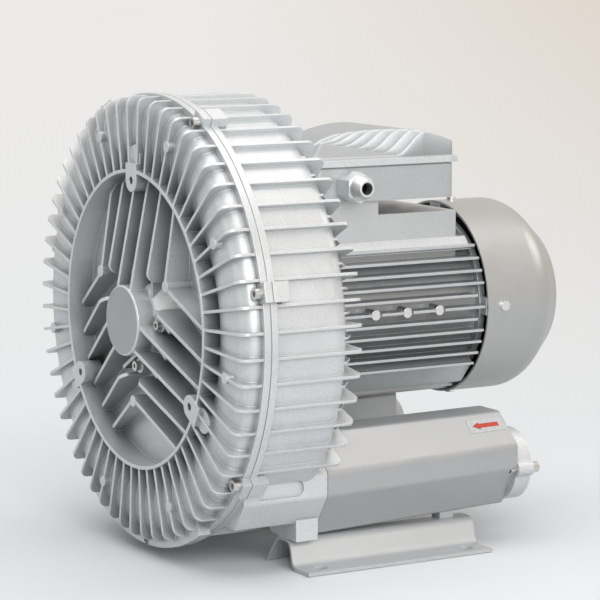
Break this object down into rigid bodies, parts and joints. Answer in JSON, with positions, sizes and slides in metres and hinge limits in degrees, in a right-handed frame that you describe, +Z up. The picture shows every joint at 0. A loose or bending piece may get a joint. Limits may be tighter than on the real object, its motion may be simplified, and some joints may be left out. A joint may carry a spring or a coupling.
{
  "type": "side channel blower",
  "caption": "Side channel blower: ribbed round casing with bladed impeller, fan-cooled motor, terminal box, two silencers with threaded ports, two foot rails.",
  "frame": {"origin": "centre of the four foot holes, on the floor plane", "axes": "+Z up; the motor axis runs along Y at Z 0.210, the ribbed cover faces -Y and the fan cowl +Y; +X is the side of the cable gland"},
  "size_m": [0.4016, 0.4217, 0.4069],
  "materials": {
    "silver_casting": "silver lacquer on cast aluminium, satin",
    "motor_casting": "silver lacquer on cast aluminium, satin",
    "silver_sheet": "silver lacquer on pressed steel sheet, satin",
    "box_casting": "silver lacquer on die-cast aluminium, satin",
    "bare_aluminium": "as cast",
    "plated_brass": "nickel plated, satin",
    "copper": "enamelled",
    "black_rubber": "matt",
    "grey_foam": "open-cell foam",
    "black_plastic": "matt",
    "laminations": "stacked sheet",
    "zinc_steel": "zinc plated",
    "machined_steel": "machined"
  },
  "bodies": {
    "root": {"bearing_cap_screws": "zinc_steel", "blanking_plug": "plated_brass", "box_base_screws": "zinc_steel", "cover_gasket": "black_rubber", "cover_screws": "zinc_steel", "cowl_screws": "zinc_steel", "fan_cowl": "silver_sheet", "foot_rail_left": "silver_sheet", "foot_rail_right": "silver_sheet", "front_bearing_cap": "machined_steel", "front_bearing_outer_race": "machined_steel", "front_cover": "silver_casting", "gland_body": "plated_brass", "gland_cap": "plated_brass", "gland_seal": "black_rubber", "lid_screws": "zinc_steel", "motor_housing": "motor_casting", "motor_screws": "zinc_steel", "motor_side_screws": "zinc_steel", "port_flange_left": "silver_casting", "port_flange_right": "silver_casting", "port_screws": "zinc_steel", "preload_washer": "machined_steel", "rail_screws": "zinc_steel", "rear_bearing_outer_race": "machined_steel", "rear_bearing_shield": "motor_casting", "rear_housing": "silver_casting", "rear_shield_screws": "zinc_steel", "shaft_seal": "black_rubber", "silencer_foam_left": "grey_foam", "silencer_foam_right": "grey_foam", "silencer_gasket_left": "black_rubber", "silencer_gasket_right": "black_rubber", "silencer_left": "silver_casting", "silencer_right": "silver_casting", "silencer_screws": "zinc_steel", "stator_core": "laminations", "stator_windings": "copper", "terminal_board": "black_plastic", "terminal_box_base": "box_casting", "terminal_box_gasket": "black_rubber", "terminal_box_lid": "box_casting", "terminal_links": "copper", "terminal_studs": "zinc_steel"},
    "rotor": {"shaft": "machined_steel", "impeller": "bare_aluminium", "impeller_key": "machined_steel", "impeller_spacer": "machined_steel", "shaft_end_washer": "machined_steel", "shaft_end_screw": "zinc_steel", "rotor_core": "laminations", "rotor_end_rings": "bare_aluminium", "cooling_fan": "black_plastic", "fan_circlip": "machined_steel", "front_bearing_inner_race": "machined_steel", "rear_bearing_inner_race": "machined_steel"},
    "front_balls": {"front_bearing_balls": "machined_steel"},
    "rear_balls": {"rear_bearing_balls": "machined_steel"}
  },
  "joints": [
    {"name": "rotor_spin", "type": "hinge", "parent": "root", "child": "rotor", "pos_m": [0, 0, 0.21], "axis": [0, 1, 0], "continuous": true},
    {"name": "front_balls_spin", "type": "hinge", "parent": "root", "child": "front_balls", "pos_m": [0, 0, 0.21], "axis": [0, 1, 0], "continuous": true},
    {"name": "rear_balls_spin", "type": "hinge", "parent": "root", "child": "rear_balls", "pos_m": [0, 0, 0.21], "axis": [0, 1, 0], "continuous": true}
  ],
  "couplings": [
    {"joint": "front_balls_spin", "follows": "rotor_spin", "ratio": 0.4156},
    {"joint": "rear_balls_spin", "follows": "rotor_spin", "ratio": 0.4156}
  ]
}
